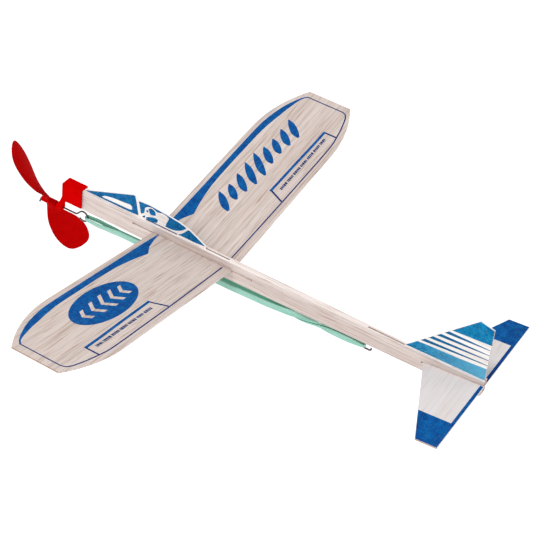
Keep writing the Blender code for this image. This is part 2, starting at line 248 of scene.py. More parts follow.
def line_outline(path, width):
    """Outline of a line of even width, with mitred corners."""
    left, right = [], []
    for index, point in enumerate(path):
        incoming = (Vector(point) - Vector(path[max(index - 1, 0)])).normalized()
        outgoing = (Vector(path[min(index + 1, len(path) - 1)]) - Vector(point)).normalized()
        along = (incoming + outgoing).normalized()
        mitre = max(along.dot(outgoing if outgoing.length else incoming), 0.5)
        across = Vector((-along.y, along.x)) * width / 2 / mitre
        left.append((point[0] + across.x, point[1] + across.y))
        right.append((point[0] - across.x, point[1] - across.y))
    return left + right[::-1]


def add_object(name, mesh, finish):
    """A new object of one material."""
    item = bpy.data.objects.new(name, mesh)
    bpy.context.scene.collection.objects.link(item)
    mesh.materials.clear()
    mesh.materials.append(finish)
    return item


def mesh_from_curve(name, curve):
    """The welded mesh of a curve, which is removed."""
    holder = bpy.data.objects.new(name, curve)
    bpy.context.scene.collection.objects.link(holder)
    bpy.context.view_layer.update()
    graph = bpy.context.evaluated_depsgraph_get()
    mesh = bpy.data.meshes.new_from_object(holder.evaluated_get(graph))
    bpy.data.objects.remove(holder, do_unlink=True)
    shape = bmesh.new()
    shape.from_mesh(mesh)
    bmesh.ops.remove_doubles(shape, verts=shape.verts, dist=WELD_DISTANCE)
    bmesh.ops.recalc_face_normals(shape, faces=shape.faces)
    shape.to_mesh(mesh)
    shape.free()
    return mesh


def flat_mesh(name, loops, depth):
    """A flat solid from closed outlines in the XY plane; an outline inside another is a hole."""
    curve = bpy.data.curves.new(name, "CURVE")
    curve.dimensions = "2D"
    curve.fill_mode = "BOTH"
    curve.extrude = depth / 2
    for points in loops:
        spline = curve.splines.new("POLY")
        spline.points.add(len(points) - 1)
        for place, (x, y) in zip(spline.points, points):
            place.co = (x, y, 0, 1)
        spline.use_cyclic_u = True
    return mesh_from_curve(name, curve)


def ring_mesh(name, rings, closed):
    """A skin over rings of points, joined end to end or capped at both ends."""
    shape = bmesh.new()
    rows = [[shape.verts.new(point) for point in ring] for ring in rings]
    following = rows[1:] + ([rows[0]] if closed else [])
    for row, other in zip(rows, following):
        for index in range(len(row)):
            after = (index + 1) % len(row)
            shape.faces.new((row[index], row[after], other[after], other[index]))
    if not closed:
        shape.faces.new(rows[0][::-1])
        shape.faces.new(rows[-1])
    bmesh.ops.recalc_face_normals(shape, faces=shape.faces)
    mesh = bpy.data.meshes.new(name)
    shape.to_mesh(mesh)
    shape.free()
    return mesh


def shade(mesh, sharp_degrees):
    """Smooth shading, with the sharper edges left crisp."""
    mesh.shade_smooth()
    mesh.set_sharp_from_angle(angle=math.radians(sharp_degrees))


def ink(name, loops, place, finish, body):
    """A film of printed ink: outlines on the surface that the place matrix lays them on."""
    mesh = flat_mesh(name, loops, INK_DEPTH)
    mesh.transform(place)
    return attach(add_object(name, mesh, finish), body)


def basis(origin, along, across):
    """Matrix that lays local X along, Y across and Z square to both, at an origin."""
    x = Vector(along).normalized()
    y = Vector(across).normalized()
    turned = Matrix((x, y, x.cross(y))).transposed().to_4x4()
    return Matrix.Translation(Vector(origin)) @ turned


# ---------------------------------------------------------------- materials

class Shader:
    """A Principled material and the few nodes that these materials are made from."""

    def __init__(self, name, roughness, specular, metallic=0.0):
        self.material = bpy.data.materials.new(name)
        self.material.use_nodes = True
        self.tree = self.material.node_tree
        self.surface = self.tree.nodes["Principled BSDF"]
        self.surface.inputs["Roughness"].default_value = roughness
        self.surface.inputs["Specular IOR Level"].default_value = specular
        self.surface.inputs["Metallic"].default_value = metallic
        coordinates = self.tree.nodes.new("ShaderNodeTexCoord")
        self.place = coordinates.outputs["Object"]
        self.normal = coordinates.outputs["Normal"]

    def link(self, output, name):
        self.tree.links.new(output, self.surface.inputs[name])

    def part(self, vector, letter):
        """One component of a vector."""
        node = self.tree.nodes.new("ShaderNodeSeparateXYZ")
        self.tree.links.new(vector, node.inputs["Vector"])
        return node.outputs[letter]

    def spread(self, value, low, high):
        """A value between two limits as 0 to 1."""
        node = self.tree.nodes.new("ShaderNodeMapRange")
        node.inputs["From Min"].default_value = low
        node.inputs["From Max"].default_value = high
        self.tree.links.new(value, node.inputs["Value"])
        return node.outputs["Result"]

    def size(self, value):
        """A value without its sign."""
        node = self.tree.nodes.new("ShaderNodeMath")
        node.operation = "ABSOLUTE"
        self.tree.links.new(value, node.inputs[0])
        return node.outputs[0]

    def noise(self, scale, detail=2.0, roughness=0.5, distortion=0.0):
        """Noise of so many features a metre along X, Y and Z."""
        mapping = self.tree.nodes.new("ShaderNodeMapping")
        mapping.inputs["Scale"].default_value = scale
        self.tree.links.new(self.place, mapping.inputs["Vector"])
        texture = self.tree.nodes.new("ShaderNodeTexNoise")
        texture.inputs["Scale"].default_value = 1.0
        texture.inputs["Detail"].default_value = detail
        texture.inputs["Roughness"].default_value = roughness
        texture.inputs["Distortion"].default_value = distortion
        self.tree.links.new(mapping.outputs["Vector"], texture.inputs["Vector"])
        return texture.outputs["Fac"]

    def ramp(self, value, *stops):
        """Colours or greys at positions from 0 to 1."""
        node = self.tree.nodes.new("ShaderNodeValToRGB")
        elements = node.color_ramp.elements
        while len(elements) < len(stops):
            elements.new(0.5)
        for element, (position, colour) in zip(elements, stops):
            element.position = position
            element.color = (*colour, 1.0) if isinstance(colour, tuple) else (colour,) * 3 + (1.0,)
        self.tree.links.new(value, node.inputs["Fac"])
        return node.outputs["Color"]

    def mix(self, kind, factor, first, second):
        """MIX, MULTIPLY, ADD and so on; a factor or colour may be a constant or an output."""
        node = self.tree.nodes.new("ShaderNodeMix")
        node.data_type = "RGBA"
        node.blend_type = kind
        for number, value in ((0, factor), (6, first), (7, second)):
            socket = node.inputs[number]
            if isinstance(value, (int, float)):
                socket.default_value = value
            elif isinstance(value, tuple):
                socket.default_value = (*value, 1.0)
            else:
                self.tree.links.new(value, socket)
        return node.outputs[2]

    def bump(self, height, strength, distance):
        node = self.tree.nodes.new("ShaderNodeBump")
        node.inputs["Strength"].default_value = strength
        node.inputs["Distance"].default_value = distance
        self.tree.links.new(height, node.inputs["Height"])
        self.link(node.outputs["Normal"], "Normal")


def grain_scale(axes, along, across):
    """Noise scale that is slow along the named axes: the grain's, and a tilted sheet's thickness."""
    return tuple(along if letter in axes else across for letter in "XYZ")


def balsa_layers(shader, axes):
    """Tone bands, streaks and pores that run along the grain."""
    bands = shader.noise(grain_scale(axes, 5, 160), detail=2)
    streaks = shader.noise(grain_scale(axes, 14, 1050), detail=3, roughness=0.62, distortion=0.2)
    pores = shader.noise(grain_scale(axes, 48, 2300), detail=2, roughness=0.6)
    return bands, streaks, pores


def balsa(name, axes, pale, tan, streak_strength, pore_strength, top_highlight=(1.0, 1.0, 1.0)):
    """Sanded balsa: pale bands, tan streaks, brown pores, darker end grain that is partly painted shade, and
    a top face lightened by a painted highlight.
    """
    shader = Shader(name, 0.72, 0.25)
    bands, streaks, pores = balsa_layers(shader, axes)
    colour = shader.mix("MIX", shader.ramp(bands, (0.3, 0.0), (0.7, 1.0)), pale, tan)
    tone = shader.ramp(streaks, (0.28, 0.70), (0.45, 0.95), (0.75, 1.08))
    colour = shader.mix("MULTIPLY", streak_strength, colour, tone)
    dashes = shader.ramp(pores, (0.54, 0.0), (0.68, pore_strength))
    colour = shader.mix("MIX", dashes, colour, BROWN)
    # darker end faces: real end grain, and partly painted shade for end faces that sit in shade
    end = shader.spread(shader.size(shader.part(shader.normal, axes[0])), 0.75, 0.95)
    colour = shader.mix("MULTIPLY", end, colour, END_GRAIN_AND_SHADE_TINT)
    # painted highlight: the top face is made lighter, where the light from above falls strongly
    top = shader.spread(shader.part(shader.normal, "Z"), 0.6, 0.9)
    colour = shader.mix("MULTIPLY", top, colour, top_highlight)
    shader.link(colour, "Base Color")
    shader.link(shader.ramp(streaks, (0.3, 0.82), (0.7, 0.62)), "Roughness")
    relief = shader.mix("SUBTRACT", 0.6, shader.ramp(streaks, (0.2, 0.0), (0.8, 1.0)), dashes)
    shader.bump(relief, 0.4, 0.00013)
    return shader.material


def printed(name, axes, deep, bright, speck_amount):
    """Ink on balsa: mottled blue that the grain and the pores show through."""
    shader = Shader(name, 0.6, 0.05)
    bands, streaks, pores = balsa_layers(shader, axes)
    blotches = shader.noise((330, 330, 330), detail=4, roughness=0.65)
    colour = shader.mix("MIX", shader.ramp(blotches, (0.35, 0.0), (0.66, 1.0)), deep, bright)
    colour = shader.mix("MULTIPLY", 1.0, colour, shader.ramp(streaks, (0.25, 0.80), (0.7, 1.06)))
    colour = shader.mix("MULTIPLY", 0.5, colour, shader.ramp(bands, (0.3, 0.8), (0.7, 1.1)))
    specks = shader.noise((1500, 1500, 1500), detail=2, roughness=0.7)
    colour = shader.mix("MIX", shader.ramp(specks, (0.53, 0.0), (0.70, speck_amount)), colour, SPECK)
    colour = shader.mix("MIX", shader.ramp(pores, (0.64, 0.0), (0.80, 0.4)), colour, SPECK)
    shader.link(colour, "Base Color")
    shader.link(shader.ramp(blotches, (0.3, 0.52), (0.7, 0.70)), "Roughness")
    shader.bump(shader.ramp(streaks, (0.2, 0.0), (0.8, 1.0)), 0.3, 0.0001)
    return shader


def plain_print(name, axes, deep, bright, speck_amount):
    """Ink that is the same from end to end."""
    return printed(name, axes, deep, bright, speck_amount).material


def fading_print(name, axes, deep, bright, speck_amount, fade):
    """Ink that turns paler towards the tail."""
    shader = printed(name, axes, deep, bright, speck_amount)
    full = shader.surface.inputs["Base Color"].links[0].from_socket
    share = shader.spread(shader.part(shader.place, "X"), FADE_START, FADE_END)
    colour = shader.mix("MIX", shader.ramp(share, (0.0, 0.0), (1.0, 0.72)), full, fade)
    shader.link(colour, "Base Color")
    return shader.material


def moulded_plastic(name, deep, bright):
    """Red injection-moulded plastic with faint flow marks and a satin skin."""
    shader = Shader(name, 0.42, 0.001)
    flow = shader.noise((90, 160, 160), detail=3, distortion=0.6)
    colour = shader.ramp(flow, (0.3, deep), (0.7, bright))
    shader.link(colour, "Base Color")
    shader.link(shader.ramp(flow, (0.3, 0.40), (0.7, 0.52)), "Roughness")
    skin = shader.noise((1500, 1500, 1500), detail=2)
    shader.bump(skin, 0.08, 0.00008)
    return shader.material


def drawn_wire():
    """Bare steel wire with fine draw lines."""
    shader = Shader("drawn_steel_wire", 0.34, 0.5, metallic=1.0)
    lines = shader.noise((60, 5000, 5000), detail=2)
    colour = shader.ramp(lines, (0.35, (0.06, 0.045, 0.05)), (0.7, (0.20, 0.16, 0.17)))
    shader.link(colour, "Base Color")
    shader.link(shader.ramp(lines, (0.3, 0.28), (0.7, 0.46)), "Roughness")
    shader.bump(lines, 0.2, 0.00003)
    return shader.material


def strip_rubber(name, deep, bright, talc):
    """Green rubber strip: fine slit marks along it and a dusting of talc."""
    shader = Shader(name, 0.6, 0.1)
    tone = shader.noise((40, 500, 500), detail=3)
    colour = shader.ramp(tone, (0.3, deep), (0.7, bright))
    dust = shader.noise((1300, 2600, 2600), detail=3, roughness=0.7)
    colour = shader.mix("MIX", shader.ramp(dust, (0.50, 0.0), (0.8, talc)), colour, TALC)
    shader.link(colour, "Base Color")
    slits = shader.noise((120, 6000, 6000), detail=2)
    shader.link(shader.ramp(slits, (0.3, 0.52), (0.7, 0.70)), "Roughness")
    shader.bump(slits, 0.3, 0.00006)
    return shader.material


PALE = (0.660, 0.580, 0.540)
TAN = (0.575, 0.480, 0.435)
STICK_PALE = (0.690, 0.618, 0.590)
STICK_TAN = (0.560, 0.470, 0.440)
TAIL_PALE = (0.710, 0.675, 0.668)
TAIL_TAN = (0.660, 0.605, 0.592)
PANEL_PALE = (0.850, 0.820, 0.800)
PANEL_TAN = (0.780, 0.730, 0.700)
BROWN = (0.36, 0.23, 0.17)
# end grain colour, partly painted shade
END_GRAIN_AND_SHADE_TINT = (0.66, 0.50, 0.42)
# painted highlight on the stick's top face, which is lit from above
TOP_PAINTED_HIGHLIGHT = (1.34, 1.38, 1.40)
BLUE_DEEP = (0.0005, 0.052, 0.240)
BLUE_BRIGHT = (0.0008, 0.112, 0.365)
MID_DEEP = (0.0004, 0.078, 0.245)
MID_BRIGHT = (0.0010, 0.155, 0.380)
TEAL_DEEP = (0.0008, 0.115, 0.290)
TEAL_BRIGHT = (0.0025, 0.240, 0.460)
SKY_PALE = (0.130, 0.430, 0.610)
DUSK_DEEP = (0.0015, 0.080, 0.210)
DUSK_BRIGHT = (0.0030, 0.135, 0.300)
SPECK = (0.16, 0.42, 0.64)
TALC = (0.60, 0.78, 0.70)
NAVY_DEEP = (0.004, 0.018, 0.105)
NAVY_BRIGHT = (0.012, 0.045, 0.190)
STRIP_DEEP = (0.0006, 0.032, 0.190)
STRIP_BRIGHT = (0.0010, 0.070, 0.300)

SPAN_BALSA = balsa("balsa_grain_across", "YZ", PALE, TAN, 1.0, 0.8)
TAIL_BALSA = balsa("balsa_tail_sheet", "YZ", TAIL_PALE, TAIL_TAN, 0.35, 0.3)
STICK_BALSA = balsa("balsa_grain_lengthwise", "X", STICK_PALE, STICK_TAN, 1.0, 0.9, TOP_PAINTED_HIGHLIGHT)
PANEL_BALSA = balsa("balsa_side_panels", "X", PANEL_PALE, PANEL_TAN, 0.6, 0.3)
SPAN_INK = plain_print("blue_ink_on_wing", "YZ", BLUE_DEEP, BLUE_BRIGHT, 0.14)
SIDE_INK = plain_print("blue_ink_on_canopy", "X", MID_DEEP, MID_BRIGHT, 0.30)
FIN_INK = plain_print("teal_blue_ink_on_fin", "X", TEAL_DEEP, TEAL_BRIGHT, 0.28)
STRIPE_INK = plain_print("dark_teal_ink_on_fin", "X", DUSK_DEEP, DUSK_BRIGHT, 0.25)
BAND_INK = fading_print("fading_blue_ink_on_fin", "X", TEAL_DEEP, TEAL_BRIGHT, 0.6, SKY_PALE)
STRIP_INK = plain_print("blue_ink_on_stabilizer", "YZ", STRIP_DEEP, STRIP_BRIGHT, 0.15)
LINE_INK = plain_print("navy_line_ink", "YZ", NAVY_DEEP, NAVY_BRIGHT, 0.1)
SIDE_LINE_INK = plain_print("navy_line_ink_on_canopy", "X", NAVY_DEEP, NAVY_BRIGHT, 0.1)
CAP_RED = moulded_plastic("red_cap_plastic", deep=(0.50, 0.0003, 0.0004), bright=(0.58, 0.0005, 0.0006))
# the blades are the cap's red plastic, made darker here as painted shade
BLADE_RED_PAINTED_SHADE = moulded_plastic("red_blade_plastic_painted_shade", deep=(0.36, 0.0003, 0.0004), bright=(0.44, 0.0005, 0.0006))
WIRE = drawn_wire()
RUBBER = strip_rubber(
    "strip_rubber", deep=(0.19, 0.44, 0.35), bright=(0.32, 0.55, 0.47), talc=0.5)
# a darker copy of the strip rubber with little talc: painted shade for faces in the gap between the runs and
# under the stick
RUBBER_PAINTED_SHADE = strip_rubber(
    "strip_rubber_painted_shade", deep=(0.10, 0.35, 0.24), bright=(0.17, 0.44, 0.33), talc=0.15)


# ---------------------------------------------------------------- CAD pieces that stay

def soften(node, finish, width, segments=2):
    """Give a CAD piece its material and take the sharpness off its edges."""
    item = frame["nodes"][node]
    item.data.materials.clear()
    item.data.materials.append(finish)
    edge = item.modifiers.new("edge", "BEVEL")
    edge.width = width
    edge.segments = segments
    edge.limit_method = "ANGLE"
    edge.angle_limit = math.radians(EDGE_ANGLE)


def dress_cad_pieces():
    """The pieces that are shown as the CAD model has them."""
    soften("motor_stick", STICK_BALSA, STICK_EDGE)
    soften("wing", SPAN_BALSA, SHEET_EDGE)
    soften("stabilizer", TAIL_BALSA, SHEET_EDGE)
    soften("fin", PANEL_BALSA, PRINTED_EDGE)
    soften("canopy_panel", PANEL_BALSA, PRINTED_EDGE)
    soften("nose_bearing", CAP_RED, CAP_EDGE, segments=3)


# ---------------------------------------------------------------- propeller

def blade_frame(radius, side):
    """Centre, chord direction and face direction of a blade section."""
    pitch = BLADE_PITCH + PITCH_GROWTH * max(radius - PITCH_START, 0)
    twist = math.atan2(pitch, math.tau * max(radius, TWIST_LIMIT))
    out = Vector((0, math.sin(BLADE_TURN), math.cos(BLADE_TURN))) * side
    turn = Vector((0, math.cos(BLADE_TURN), -math.sin(BLADE_TURN))) * side
    chord = turn * math.cos(twist) - Vector((math.sin(twist), 0, 0))
    centre = Vector((DISC_X, 0, AXIS_Z)) + out * radius + chord * BLADE_SHIFT
    return centre, chord, out.cross(chord)


def blade_ring(radius, half_chord, side, points=28):
    """A flat oval round one section, slightly cambered."""
    centre, chord, face = blade_frame(radius, side)
    half_thickness = min(level(radius, BLADE_THICKNESS) / 2, half_chord)
    ring = []
    for index in range(points):
        angle = math.tau * index / points
        across = math.cos(angle)
        through = math.copysign(abs(math.sin(angle)) ** BLADE_FULLNESS, math.sin(angle))
        camber = half_chord * BLADE_CAMBER * (1 - across * across)
        ring.append(centre + chord * half_chord * across + face * (half_thickness * through + camber))
    return ring


def blade_mesh(side):
    """One blade; side is 1 for the upper one at rest and -1 for the lower one."""
    rings = [blade_ring(radius, half_chord, side) for radius, half_chord in smooth_path(BLADE_EDGE, 5)]
    return ring_mesh("blade", rings, closed=False)


def turned_mesh(name, profile, steps=40):
    """A solid turned round the propeller's axis from (place, radius) pairs."""
    angles = [math.tau * step / steps for step in range(steps)]
    rings = []
    for x, radius in profile:
        rings.append([(x, radius * math.cos(a), AXIS_Z + radius * math.sin(a)) for a in angles])
    return ring_mesh(name, rings, closed=False)


def hub_mesh():
    """A short barrel with rounded ends."""
    rear = arc((HUB_REAR + HUB_EDGE, HUB_RADIUS - HUB_EDGE), HUB_EDGE, 180, 90, 5)
    front = arc((HUB_FRONT - HUB_EDGE, HUB_RADIUS - HUB_EDGE), HUB_EDGE, 90, 0, 5)
    return turned_mesh("hub", rear + front)


def join(item, tool_mesh, operation):
    """Boolean with a mesh that is used up."""
    tool = bpy.data.objects.new("tool", tool_mesh)
    bpy.context.scene.collection.objects.link(tool)
    step = item.modifiers.new("join", "BOOLEAN")
    step.operation = operation
    step.solver = "EXACT"
    step.object = tool
    bpy.context.view_layer.update()
    graph = bpy.context.evaluated_depsgraph_get()
    result = bpy.data.meshes.new_from_object(item.evaluated_get(graph))
    item.modifiers.remove(step)
    item.data = result
    bpy.data.objects.remove(tool, do_unlink=True)


def make_propeller():
    propeller = add_object("moulded_propeller", hub_mesh(), BLADE_RED_PAINTED_SHADE)
    for side in (1, -1):
        join(propeller, blade_mesh(side), "UNION")
    bore = WIRE_RADIUS + BORE_CLEARANCE
    bore_ends = [(HUB_REAR - OVERCUT, bore), (HUB_FRONT + OVERCUT, bore)]
    join(propeller, turned_mesh("bore", bore_ends), "DIFFERENCE")
    propeller.data.materials.clear()
    propeller.data.materials.append(BLADE_RED_PAINTED_SHADE)
    shade(propeller.data, 38)
    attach(propeller, "propeller")
    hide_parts("propeller")


# ---------------------------------------------------------------- wire

def wire(name, path, body, node):
    """A round wire along a path, with closed ends."""
    curve = bpy.data.curves.new(name, "CURVE")
    curve.dimensions = "3D"
    curve.bevel_depth = WIRE_RADIUS
    curve.bevel_resolution = 6
    curve.use_fill_caps = True
    spline = curve.splines.new("POLY")
    spline.points.add(len(path) - 1)
    for place, point in zip(spline.points, path):
        place.co = (*point, 1)
    mesh = mesh_from_curve(name, curve)
    shade(mesh, 40)
    piece = add_object(name, mesh, WIRE)
    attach(piece, body)
    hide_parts(node)


def make_shaft():
    ring = [(x, 0, z) for x, z in arc(RING_CENTRE, RING_RADIUS, *RING_SWEEP, 40)]
    straight = rounded([SHAFT_TIP, (SHAFT_FRONT, 0, AXIS_Z), (SHAFT_KINK, 0, AXIS_Z), ring[0]], SHAFT_BEND)
    wire("bent_propeller_shaft", [*straight[:-1], *ring], "propeller", "propeller_shaft")


def make_hook():
    bend = arc((HOOK_LEG_X - HOOK_BEND, HOOK_LOW + HOOK_BEND), HOOK_BEND, 0, -90, 10)
    tail = arc((HOOK_TAIL_X + HOOK_BEND, HOOK_LOW + HOOK_BEND), HOOK_BEND, -90, -180, 10)
    path = [(HOOK_LEG_X, HOOK_LEG_TOP), *bend, *tail, (HOOK_TAIL_X, HOOK_TIP)]
    wire("bent_rear_hook", [(x, 0, z) for x, z in path], "fuselage", "rear_hook")


# ---------------------------------------------------------------- rubber band

def strip_ring(centre, wide, out):
    """Eight corners round the strip: wide is its width's direction, out its outer face's."""
    half_width = level(centre.x, STRIP_WIDTH) / 2
    half_thickness = STRIP_THICKNESS / 2
    inner_width = half_width - STRIP_CHAMFER
    inner_thickness = half_thickness - STRIP_CHAMFER
    corners = []
    for up, face in ((1, 1), (-1, 1), (-1, -1), (1, -1)):
        pair = [(up * half_width, face * inner_thickness), (up * inner_width, face * half_thickness)]
        if up * face < 0:
            pair.reverse()
        corners.extend(centre + wide * a + out * b for a, b in pair)
    return corners


def band_place(share):
    """Middle between the runs, the first run's side and the strips' width direction."""
    x = BAND_FRONT[0] + (BAND_REAR[0] - BAND_FRONT[0]) * share
    z = BAND_FRONT[1] + (BAND_REAR[1] - BAND_FRONT[1]) * share - BAND_SAG * 4 * share * (1 - share)
    roll = math.radians(level(x, BAND_ROLL))
    side = Vector((0, math.cos(roll), math.sin(roll)))
    wide = Vector((0, -math.sin(roll), math.cos(roll)))
    return Vector((x, 0, z)), side, wide


def band_run(first):
    """Rings along one run, from front to rear."""
    rings = []
    for step in range(RUN_STEPS + 1):
        middle, side, wide = band_place(step / RUN_STEPS)
        side = side * first
        rings.append(strip_ring(middle + side * level(middle.x, BAND_SPACING) / 2, wide, side))
    return rings


def band_turn(share, first, outward):
    """Rings round the loop's end, from one run to the other."""
    middle, side, wide = band_place(share)
    reach = level(middle.x, BAND_SPACING) / 2
    rings = []
    for step in range(1, TURN_STEPS):
        angle = math.pi * step / TURN_STEPS
        out = side * first * math.cos(angle) + Vector((outward, 0, 0)) * math.sin(angle)
        rings.append(strip_ring(middle + out * reach, wide, out))
    return rings


def make_band():
    rings = band_run(1) + band_turn(1, 1, -1) + band_run(-1)[::-1] + band_turn(0, -1, 1)
    mesh = ring_mesh("strip_rubber_band", rings, closed=True)
    shade(mesh, 30)
    band = add_object("strip_rubber_band", mesh, RUBBER)
    mesh.materials.append(RUBBER_PAINTED_SHADE)
    for face in mesh.polygons:
        ring, side = divmod(face.index, len(rings[0]))
        # faces that get the darker copy, as painted shade
        shaded_faces = INNER_FACES if ring < len(rings) / 2 else INNER_AND_TOP_FACES
        face.material_index = int(side in shaded_faces)
    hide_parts("rubber_band")
    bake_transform(band)


# ---------------------------------------------------------------- prints

# widths of the printed lines
BORDER_WIDTH = 0.00075
FRAME_WIDTH = 0.0011
FRAME_BAR_WIDTH = 0.0015
SILL_WIDTH = 0.0006


def metres(*points):
    """Points given in millimetres."""
    return [(x / 1000, y / 1000) for x, y in points]


def mirrored(loops):
    """The same outlines on the other side of the middle."""
    return [[(x, -y) for x, y in loop] for loop in loops]


def wing_place(side):
    """Lays (distance ahead of the leading edge, distance from the crease) on a wing panel."""
    across = (0, side * math.cos(DIHEDRAL), math.sin(DIHEDRAL))
    return basis((WING_LEAD, 0, WING_CREASE), (1, 0, 0), across)


def wing_swoosh():
    """The long blue swoosh behind the leading edge, from the root to the tip."""
    outer = metres((-3.2, 1.2), (-2.8, 12), (-2.8, 50), (-2.8, 92), (-3.6, 104), (-5.6, 114.5),
                   (-7.9, 121.5), (-11.2, 128.5), (-13.5, 131.0))
    inner = metres((-13.9, 130.3), (-11.6, 127.0), (-9.4, 117.5), (-8.2, 109), (-7.0, 100.5),
                   (-6.3, 90.6), (-6.2, 74.4), (-6.1, 61.7), (-6.3, 49.4), (-6.8, 41.4), (-8.2, 31),
                   (-10.2, 21.2))
    root = metres((-6.8, 15.0), (-4.8, 7.5), (-3.7, 1.4))
    return smooth_path(outer) + smooth_path(inner) + smooth_path(root)


def wing_border():
    """The thin line along the tip and the trailing edge."""
    tip = metres((-13.2, 130.8), (-36.4, 130.8))
    corner = smooth_path(metres((-36.4, 130.8), (-38.8, 129.6), (-40.4, 126.8)), 5)
    trailing = smooth_path(metres((-40.4, 126.8), (-42.1, 120.5), (-43.6, 113.0), (-44.8, 104.0),
                                  (-44.9, 92)), 5)
    root = metres((-44.6, 55), (-44.2, 30), (-43.6, 3.0))
    return line_outline(tip + corner[1:] + trailing[1:] + root, BORDER_WIDTH)


def wing_frame():
    """The sides of the frame printed at the trailing edge."""
    inboard = line_outline(metres((-44.1, 53.7), (-35.6, 57.6)), FRAME_WIDTH)
    outboard = line_outline(metres((-43.9, 111.3), (-36.4, 111.3)), FRAME_WIDTH)
    return [inboard, outboard]


def wing_frame_bar():
    """The heavier front line of the printed frame."""
    path = metres((-35.1, 57.0), (-35.3, 67.3), (-35.6, 82.8), (-36.1, 99.9), (-36.2, 111.8))
    return line_outline(path, FRAME_BAR_WIDTH)


def ticks():
    """A row of slanted marks in groups of five, inside the frame; sizes in millimetres."""
    lengths = (1.0, 0.7, 1.2, 0.8, 0.9, 1.3, 0.7)
    rear, front, slant = -39.8, -38.2, 0.3
    wide_gap, gap = 1.0, 0.28
    loops = []
    start = 61.0
    for number in range(34):
        length = lengths[number * 3 % len(lengths)]
        loops.append(metres(
            (rear, start), (front, start + slant), (front, start + slant + length), (rear, start + length)))
        start += length + (wide_gap if number % 5 == 4 else gap)
    return loops


def oval_badge():
    """A blue oval with a row of chevrons left bare."""
    centre = Vector((-0.0206, 0.0747))
    half_chord, half_span = 0.0113, 0.0245
    steps = 72
    outline = []
    for step in range(steps):
        angle = math.tau * step / steps
        outline.append((centre.x + half_chord * math.cos(angle), centre.y + half_span * math.sin(angle)))
    loops = [outline]
    bar, spacing, middle_tip = 0.0026, 0.0078, 0.0024
    for number, arm in enumerate((0.0036, 0.0048, 0.0054, 0.0048, 0.0036)):
        tip = centre + Vector((0, (number - 2) * spacing + middle_tip))
        slope = arm * 0.8
        loops.append([
            (tip.x, tip.y), (tip.x - arm, tip.y - slope), (tip.x - arm, tip.y - slope - bar),
            (tip.x, tip.y - bar), (tip.x + arm, tip.y - slope - bar), (tip.x + arm, tip.y - slope),
        ])
    return loops


def speed_strokes():
    """A row of slanted brush strokes on the right panel; sizes in millimetres, widths in metres."""
    widths = [0.0014, 0.0042, 0.0038, 0.0006]
    loops = []
    for number, reach in enumerate((1.0, 0.8, 0.95, 1.15, 1.2, 0.9, 0.8, 0.9, 1.0)):
        middle = Vector((-18.3 - 0.25 * number, 37.5 + 8.4 * number))
        lean = Vector((6.0, 4.6)) * reach
        ends = middle - lean, middle - lean * 0.4 - Vector((0, 0.5)), middle + lean * 0.4, middle + lean
        loops.append(stroke(metres(*ends), widths))
    return loops


def print_wing():
    for side, word in ((1, "left"), (-1, "right")):
        place = wing_place(side)
        ink(f"wing_swoosh_{word}", [wing_swoosh()], place, SPAN_INK, "wing")
        ink(f"wing_border_{word}", [wing_border()], place, LINE_INK, "wing")
        ink(f"wing_frame_{word}", wing_frame(), place, LINE_INK, "wing")
        ink(f"wing_frame_bar_{word}", [wing_frame_bar()], place, SPAN_INK, "wing")
        ink(f"wing_ticks_{word}", ticks(), place, LINE_INK, "wing")
    ink("wing_oval_badge", oval_badge(), wing_place(1), SPAN_INK, "wing")
    ink("wing_speed_strokes", speed_strokes(), wing_place(-1), SPAN_INK, "wing")


def panel_faces():
    """The left and right faces of the sheets that stand on the stick."""
    for y, word in ((FIN_HIGH[1], "left"), (FIN_LOW[1], "right")):
        yield basis((0, y, 0), (1, 0, 0), (0, 0, 1)), word


def nose_wedge():
    """The printed nose panel ahead of the windscreen, round a bare window."""
    top = metres((98.5, 0.12), (67.9, 11.98), (67.1, 11.7))
    windscreen = smooth_path(metres((66.2, 8.9), (65.3, 4.8), (64.3, 0.6)), 4)
    bottom = metres((68.8, 0.2), (74.8, 0.12), (88.0, 0.1), (94.3, 0.1))
    upper = smooth_path(metres(
        (87.8, 1.25), (86.3, 2.4), (84.7, 3.0), (82.4, 3.5), (79.8, 3.9), (76.5, 4.2),
        (72.1, 4.6), (70.0, 4.8), (68.9, 4.3), (68.5, 3.3), (68.7, 2.1), (70.1, 1.6)), 4)
    lower = metres((73.1, 1.45), (77.8, 1.35), (82.6, 1.2), (86.4, 1.1))
    return [top + windscreen + bottom, upper + lower]


def cockpit_glass():
    """The glazing behind the windscreen, round the pilot's helmet and a bare patch."""
    roof = metres((64.7, 9.72), (58.1, 10.22), (51.8, 9.72), (45.5, 9.03), (39.3, 8.22), (35.2, 7.18))
    aft = smooth_path(metres(
        (35.4, 6.2), (37.3, 4.4), (39.8, 2.8), (42.3, 2.0), (45.0, 1.65), (47.6, 1.7)), 4)
    patch = smooth_path(metres(
        (46.9, 4.3), (45.8, 7.4), (46.7, 8.3), (48.2, 8.8), (50.0, 9.0), (52.2, 8.4),
        (53.5, 8.4), (55.0, 8.95), (55.9, 9.3), (57.6, 9.2), (59.4, 8.5), (60.6, 7.2),
        (60.7, 5.8), (61.0, 4.0), (61.8, 3.2), (62.9, 2.4)), 4)
    front = metres((63.8, 6.0), (64.2, 8.0))
    return [roof + aft + patch + front]


